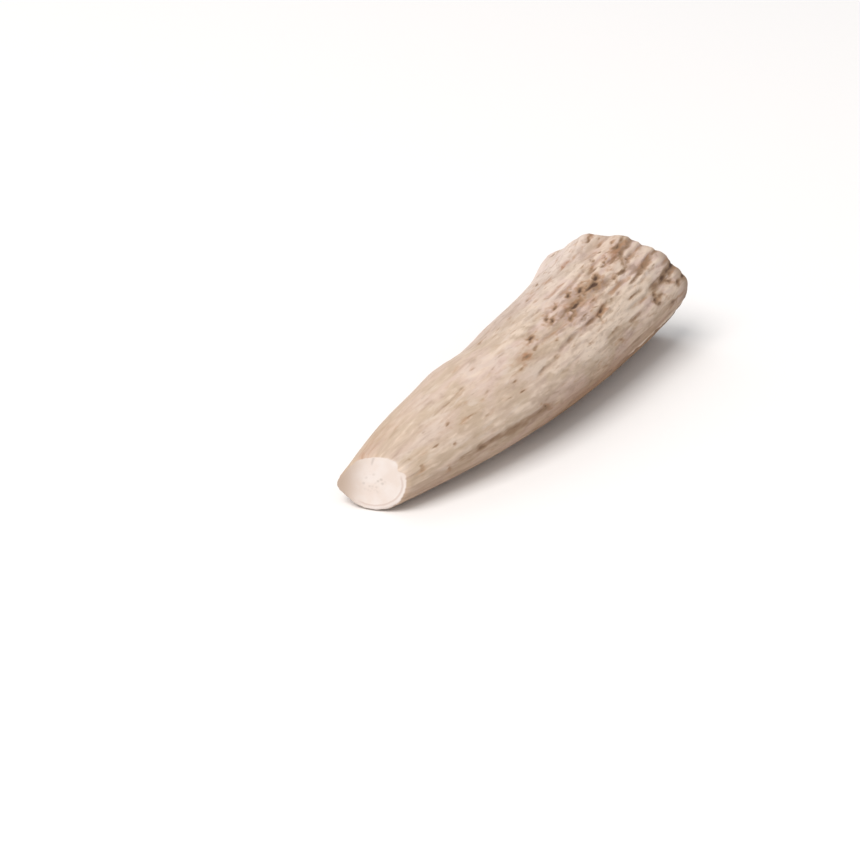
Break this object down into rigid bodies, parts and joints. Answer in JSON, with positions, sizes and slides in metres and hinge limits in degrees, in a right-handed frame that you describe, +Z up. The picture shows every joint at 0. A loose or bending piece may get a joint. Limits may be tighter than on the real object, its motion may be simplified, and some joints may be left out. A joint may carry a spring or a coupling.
{
  "type": "deer antler piece",
  "caption": "Blunt, tapering length of pale deer antler with a ridged, pitted outside and a sawn face at each end, lying on its flatter side.",
  "frame": {"origin": "on the surface the piece lies on, below the middle of its box", "axes": "+X from the small sawn end towards the large one, +Y across, +Z up"},
  "size_m": [0.1882, 0.0578, 0.0408],
  "materials": {
    "antler_bone": "matt, dry bone: pale beige with grey-brown grooves and dark pits, ivory on the sawn faces"
  },
  "bodies": {
    "root": {"antler": "antler_bone"}
  },
  "joints": []
}
